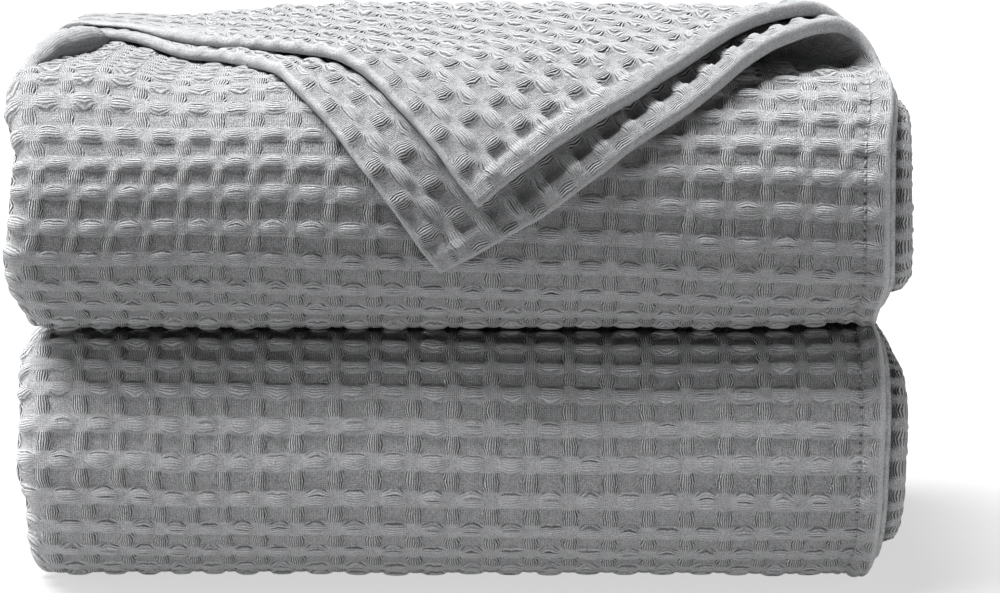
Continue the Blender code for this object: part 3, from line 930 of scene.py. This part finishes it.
class BlanketStudio(PropertyGroup):
    """The floor and light of the studio."""

    floor: FloatVectorProperty(
        name="Floor", description="Colour of the floor",
        default=(0.105, 0.105, 0.105), size=3, min=0, max=1, subtype="COLOR",
    )
    floor_glow: FloatProperty(
        name="Floor glow", description="Light from the white floor itself", default=0.61, min=0
    )
    overhead: FloatProperty(
        name="Overhead", description="Strength of the wide light above", default=14.8, min=0
    )
    softbox: FloatProperty(
        name="Softbox", description="Power of the soft light at the left", default=5.0, min=0, unit="POWER"
    )
    side_fill: FloatProperty(
        name="Side fill", description="Power of the weak light at the right", default=4.2, min=0, unit="POWER"
    )
    bounce: FloatProperty(
        name="Bounce", description="Power of the low card in front", default=0.075, min=0, unit="POWER"
    )
    surround: FloatProperty(
        name="Surround", description="Strength of the white surround", default=0.05, min=0
    )
    view_pitch: FloatProperty(
        name="Camera pitch", description="How far the camera looks down",
        default=math.radians(10), subtype="ANGLE",
    )


class BLANKET_OT_folded_plies(Operator):
    """Makes the four plies of the folded strip, which carry the raised faces"""

    bl_idname = "blanket.folded_plies"
    bl_label = "Folded plies"

    def execute(self, context):
        core_piece()
        return {"FINISHED"}


class BLANKET_OT_front_folds(Operator):
    """Makes the two full folds that face the front, with their hem and left fold"""

    bl_idname = "blanket.front_folds"
    bl_label = "Front folds"

    def execute(self, context):
        def crease(u):
            return np.where(u < LEFT_U, CREASE_V - u * math.tan(CREASE_TILT), 0)

        strip_panel("front_upper", FACE_U, (0, CUTS[0]), FRONT_DETAIL, crease)
        strip_panel("front_lower", FACE_U, CUTS[1:3], FRONT_DETAIL)
        return {"FINISHED"}


class BLANKET_OT_back_folds(Operator):
    """Makes the faces at the back and below, and the top behind the turned corner"""

    bl_idname = "blanket.back_folds"
    bl_label = "Back folds"

    def execute(self, context):
        strip_panel("back_lower", FACE_U, CUTS[2:4], LOW_DETAIL)
        strip_panel("back_spine", FACE_U, CUTS[4:6], SIDE_DETAIL)
        strip_panel("top_back", (RIGHT_U, CLOTH_U - LEFT_U), (0, CREASE_V + 10 * MM), SIDE_DETAIL)
        return {"FINISHED"}


class BLANKET_OT_side_folds(Operator):
    """Makes the folds and hems that show at the sides, between the front and back ones"""

    bl_idname = "blanket.side_folds"
    bl_label = "Side folds"

    def execute(self, context):
        for number, v_range in enumerate((CUTS[0:2], CUTS[3:5], CUTS[5:7]), 1):
            strip_panel(f"left_fold_{number}", (LEFT_U - 12 * MM, FACE_U[1]), v_range, SIDE_DETAIL)
            strip_panel(f"hem_a_{number}", (FACE_U[0], 20 * MM), v_range, SIDE_DETAIL)
        strip_panel("hem_b", (-8 * MM, 8 * MM), (CREASE_V, CLOTH_V), TURNED_DETAIL, hem_b=True)
        fold = (RIGHT_U - 14 * MM, RIGHT_U + 0.5 * math.pi * PLY + 14 * MM)
        strip_panel("right_fold", fold, (0, CLOTH_V), SIDE_DETAIL)
        return {"FINISHED"}


class BLANKET_OT_turned_corner(Operator):
    """Makes the two plies of the corner that is turned up and over the front"""

    bl_idname = "blanket.turned_corner"
    bl_label = "Turned corner"

    def execute(self, context):
        turned_piece("turned_lower", 0)
        turned_piece("turned_upper", 1)
        rolled_fold()
        return {"FINISHED"}


class BLANKET_OT_stitching(Operator):
    """Sews the stitch lines one hem width in from the edges"""

    bl_idname = "blanket.stitching"
    bl_label = "Stitching"

    def execute(self, context):
        rows = stitch_row((HEM_WIDTH, CREASE_V), (HEM_WIDTH, CLOTH_V - HEM_WIDTH))
        thread = sewing_thread()
        sewn_line("stitches_long_hem", strip_face, rows, thread)
        inner = CORNER_LENGTH - HEM_WIDTH
        corner = (HEM_WIDTH, inner)
        start, stop = (HEM_WIDTH, 5 * MM), (SEWN_REACH, inner)
        rows = [np.concatenate(part) for part in zip(stitch_row(start, corner), stitch_row(corner, stop))]
        for layer, name in enumerate(("stitches_turned_lower", "stitches_turned_upper")):
            sewn_line(name, lambda q, s, lift: turned_face(q, s, lift, layer), rows, thread)
        return {"FINISHED"}


FLOOR = 6.0  # half the floor's side
CARD = {"shape": "RECTANGLE", "size": 0.4, "size_y": 0.04, "spread": math.radians(27)}
# Name, kind, settings, place and the height over the origin that the light points at
LIGHTS = (
    ("overhead", "SUN", {"angle": math.radians(40)}, (-0.38, 0.12, 1.05), 0.1),
    ("softbox_left", "AREA", {"shape": "SQUARE", "size": 0.5}, (-0.66, -0.16, 0.10), 0.1),
    ("side_fill", "AREA", {"shape": "SQUARE", "size": 0.6}, (0.75, -0.22, 0.12), 0.1),
    ("bounce", "AREA", CARD, (-0.14, -0.52, 0.03), 0.035),
)
DISTANCE = 1.2  # from the camera to the front of the blanket
SENSOR = 36  # width in mm
PIXEL, PHOTO_WIDTH = 0.359 * MM, 1000
SEEN = (14.5 * MM, -104.5 * MM, 112.1 * MM)  # the place in the middle of the photo


class BLANKET_OT_stage(Operator):
    """Makes the floor, the soft lights and the camera"""

    bl_idname = "blanket.stage"
    bl_label = "Floor, lights and camera"

    def execute(self, context):
        studio = context.scene.blanket_studio
        mesh = bpy.data.meshes.new("floor")
        corners = [(-FLOOR, -FLOOR, 0), (FLOOR, -FLOOR, 0), (FLOOR, FLOOR, 0), (-FLOOR, FLOOR, 0)]
        mesh.from_pydata(corners, [], [(0, 1, 2, 3)])
        floor = new_object("floor", mesh)
        mesh.materials.append(floor_finish(studio.floor, studio.floor_glow))

        context.scene.view_settings.view_transform = "Standard"
        world = bpy.data.worlds.new("studio")
        context.scene.world = world
        world.use_nodes = True
        sky = world.node_tree.nodes["Background"]
        sky.inputs["Color"].default_value = (1, 1, 1, 1)
        sky.inputs["Strength"].default_value = studio.surround
        powers = (studio.overhead, studio.softbox, studio.side_fill, studio.bounce)
        for (name, kind, settings, place, aim), power in zip(LIGHTS, powers):
            light = bpy.data.lights.new(name, kind)
            light.energy = power
            for key, value in settings.items():
                setattr(light, key, value)
            lamp = new_object(name, light)
            lamp.location = place
            lamp.rotation_euler = (Vector((0, 0, aim)) - Vector(place)).to_track_quat("-Z", "Y").to_euler()

        camera = bpy.data.cameras.new("camera")
        pitch = studio.view_pitch
        camera.sensor_width = SENSOR
        camera.lens = SENSOR * DISTANCE / PIXEL / math.cos(pitch) / PHOTO_WIDTH
        view = new_object("camera", camera)
        x, y, z = SEEN
        view.location = (x, y - DISTANCE, z + DISTANCE * math.tan(pitch))
        view.rotation_euler = (math.pi / 2 - pitch, 0, 0)
        context.scene.camera = view
        return {"FINISHED"}


class BLANKET_PT_pieces(Panel):
    """Lists the blanket's pieces in the sidebar"""

    bl_label = "Folded blanket"
    bl_idname = "BLANKET_PT_pieces"
    bl_space_type = "VIEW_3D"
    bl_region_type = "UI"
    bl_category = "Blanket"

    def draw(self, context):
        for group in (context.scene.blanket_cloth, context.scene.blanket_studio):
            for name in group.__annotations__:
                self.layout.prop(group, name)
        for maker in MAKERS:
            self.layout.operator(maker.bl_idname)


MAKERS = (
    BLANKET_OT_folded_plies,
    BLANKET_OT_front_folds,
    BLANKET_OT_back_folds,
    BLANKET_OT_side_folds,
    BLANKET_OT_turned_corner,
    BLANKET_OT_stitching,
    BLANKET_OT_stage,
)
CLASSES = (BlanketCloth, BlanketStudio, *MAKERS, BLANKET_PT_pieces)


def register():
    for item in CLASSES:
        bpy.utils.register_class(item)
    bpy.types.Scene.blanket_cloth = PointerProperty(type=BlanketCloth)
    bpy.types.Scene.blanket_studio = PointerProperty(type=BlanketStudio)


def unregister():
    del bpy.types.Scene.blanket_cloth
    del bpy.types.Scene.blanket_studio
    for item in reversed(CLASSES):
        bpy.utils.unregister_class(item)


def main():
    register()
    for maker in MAKERS:
        group, name = maker.bl_idname.split(".")
        getattr(getattr(bpy.ops, group), name)()


if __name__ == "__main__":
    main()
